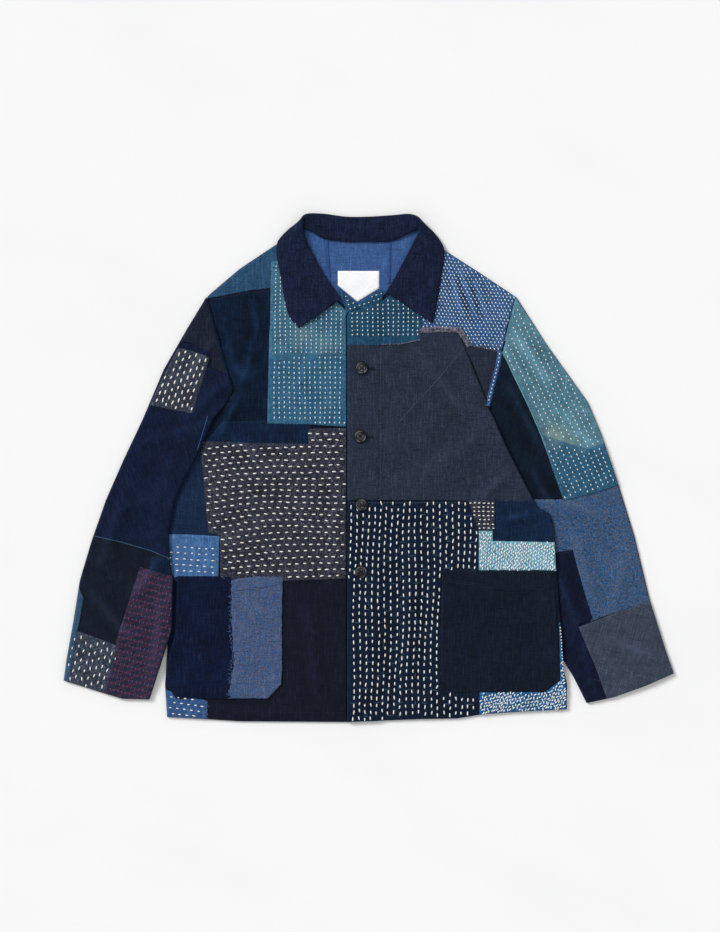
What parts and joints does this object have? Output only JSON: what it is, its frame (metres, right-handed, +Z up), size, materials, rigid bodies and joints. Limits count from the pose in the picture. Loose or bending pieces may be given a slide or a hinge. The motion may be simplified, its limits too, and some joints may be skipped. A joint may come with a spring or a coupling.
{
  "type": "boro jacket",
  "caption": "Loose indigo jacket of patched and hand-stitched cotton with a turned-down collar, buttoned front and patch pockets, laid flat on its back.",
  "frame": {"origin": "on the floor below the middle of the jacket's outline", "axes": "+X towards the wearer's left sleeve, +Y towards the collar, +Z up from the floor"},
  "size_m": [0.866, 0.7213, 0.015],
  "materials": {
    "back_cloth": "worn cotton, indigo navy",
    "front_right_cloth": "patched and hand-stitched cotton",
    "front_left_cloth": "patched and hand-stitched cotton",
    "sleeve_right_cloth": "patched and hand-stitched cotton",
    "sleeve_left_cloth": "patched and hand-stitched cotton",
    "collar_cloth": "close plain weave, matt",
    "lining_cloth": "worn blue cotton",
    "label_cloth": "plain white woven tape",
    "facing_cloth": "turned cotton edge",
    "pocket_right_cloth": "navy and mottled blue cotton",
    "pocket_left_cloth": "dark cotton",
    "button_horn": "dark horn look, softly polished"
  },
  "bodies": {
    "root": {"back": "back_cloth", "front_right": "front_right_cloth", "front_left": "front_left_cloth", "sleeve_right": "sleeve_right_cloth", "sleeve_left": "sleeve_left_cloth", "collar": "collar_cloth", "back_lining": "lining_cloth", "label": "label_cloth", "neck_facing": "facing_cloth", "pocket_right": "pocket_right_cloth", "pocket_left": "pocket_left_cloth", "button_1": "button_horn", "button_2": "button_horn", "button_3": "button_horn", "button_4": "button_horn"}
  },
  "joints": []
}
